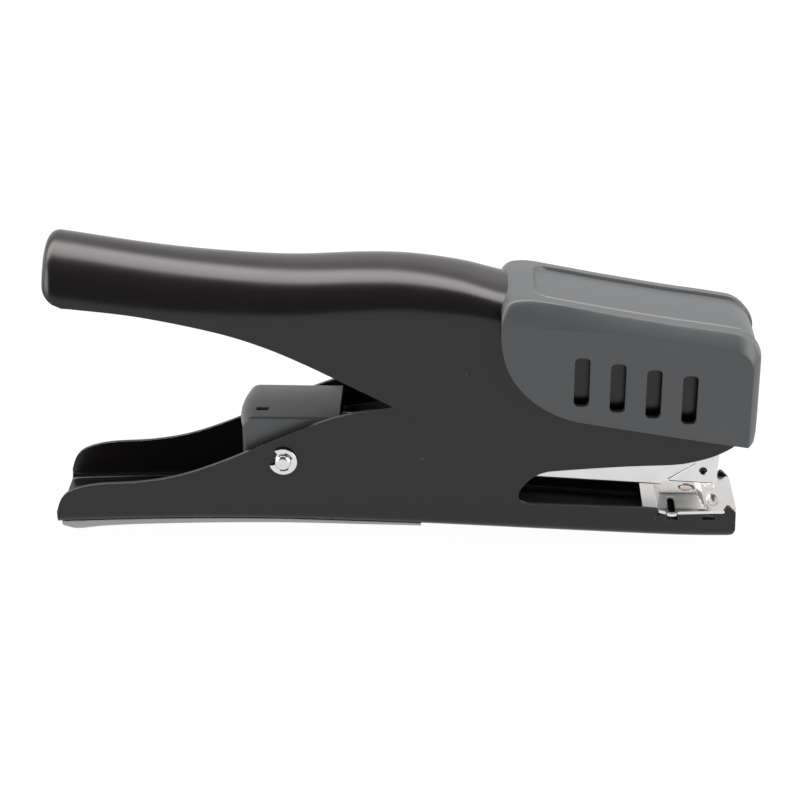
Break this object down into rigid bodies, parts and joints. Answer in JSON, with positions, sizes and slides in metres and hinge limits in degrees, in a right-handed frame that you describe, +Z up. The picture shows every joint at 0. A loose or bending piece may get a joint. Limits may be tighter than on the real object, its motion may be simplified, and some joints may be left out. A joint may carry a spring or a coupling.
{
  "type": "plier stapler",
  "caption": "Hand-held plier stapler: black sheet-steel frame and squeeze handle, grey slotted head cover, throat with anvil jaw, sliding staple tray.",
  "frame": {"origin": "on the surface it rests on, under the middle of its bounding box", "axes": "+X towards the jaw, along the length; +Y to the far side, across the width; +Z up"},
  "size_m": [0.18, 0.0324, 0.0788],
  "materials": {
    "black_paint": "satin black enamel",
    "nickel": "bright nickel plate",
    "zinced_steel": "zinc plate, semi-matt",
    "spring_steel": "plain spring steel",
    "grey_plastic": "fine matt grain, dark grey",
    "pale_plastic": "matt, light grey",
    "coppered_rivet": "dull copper flash"
  },
  "bodies": {
    "frame": {"frame": "black_paint", "base_grip": "pale_plastic", "anvil_plate": "nickel", "anvil_bridge": "zinced_steel", "anvil_rivet": "coppered_rivet", "rear_stud_near": "nickel", "rear_clip_near": "nickel", "rear_stud_far": "nickel", "rear_clip_far": "nickel", "fulcrum_pin": "zinced_steel", "fulcrum_clip": "spring_steel", "spring_seat": "zinced_steel", "magazine_spring": "spring_steel"},
    "handle": {"handle_shell": "black_paint", "head_cover": "grey_plastic", "roller_pin": "zinced_steel", "return_spring": "spring_steel"},
    "roller": {"push_roller": "zinced_steel"},
    "driver_lever": {"driver_lever": "zinced_steel", "driver_blade": "spring_steel", "blade_rivet": "zinced_steel"},
    "magazine": {"magazine": "nickel", "front_guide": "nickel"},
    "staple_tray": {"tray_rail": "zinced_steel", "spring_rod": "zinced_steel", "tray_cap": "grey_plastic"},
    "pusher": {"staple_pusher": "grey_plastic", "feed_spring": "spring_steel"}
  },
  "joints": [
    {"name": "handle_squeeze", "type": "hinge", "parent": "frame", "child": "handle", "pos_m": [0.0795, 0, 0.045], "axis": [0, -1, 0], "range_deg": [0, 10], "stiffness_Nm_per_rad": 1.2, "springref_deg": -17.19, "deforming": ["return_spring"]},
    {"name": "roller_spin", "type": "hinge", "parent": "handle", "child": "roller", "pos_m": [0.041, 0, 0.041], "axis": [0, 1, 0], "continuous": true},
    {"name": "driver_press", "type": "hinge", "parent": "frame", "child": "driver_lever", "pos_m": [-0.0303, 0, 0.022], "axis": [0, 1, 0], "range_deg": [0, 5.4]},
    {"name": "magazine_close", "type": "hinge", "parent": "frame", "child": "magazine", "pos_m": [-0.0303, 0, 0.022], "axis": [0, 1, 0], "range_deg": [0, 2.4], "deforming": ["magazine_spring"]},
    {"name": "tray_slide", "type": "slide", "parent": "magazine", "child": "staple_tray", "axis": [-0.9987, 0, 0.0506], "range_m": [0, 0.1]},
    {"name": "pusher_slide", "type": "slide", "parent": "staple_tray", "child": "pusher", "axis": [-0.9987, 0, 0.0506], "range_m": [0, 0.09], "stiffness_N_per_m": 6, "springref_m": -0.08, "deforming": ["feed_spring"]}
  ],
  "couplings": [
    {"joint": "driver_press", "follows": "handle_squeeze", "ratio": 0.54},
    {"joint": "magazine_close", "follows": "handle_squeeze", "ratio": 0.24}
  ]
}
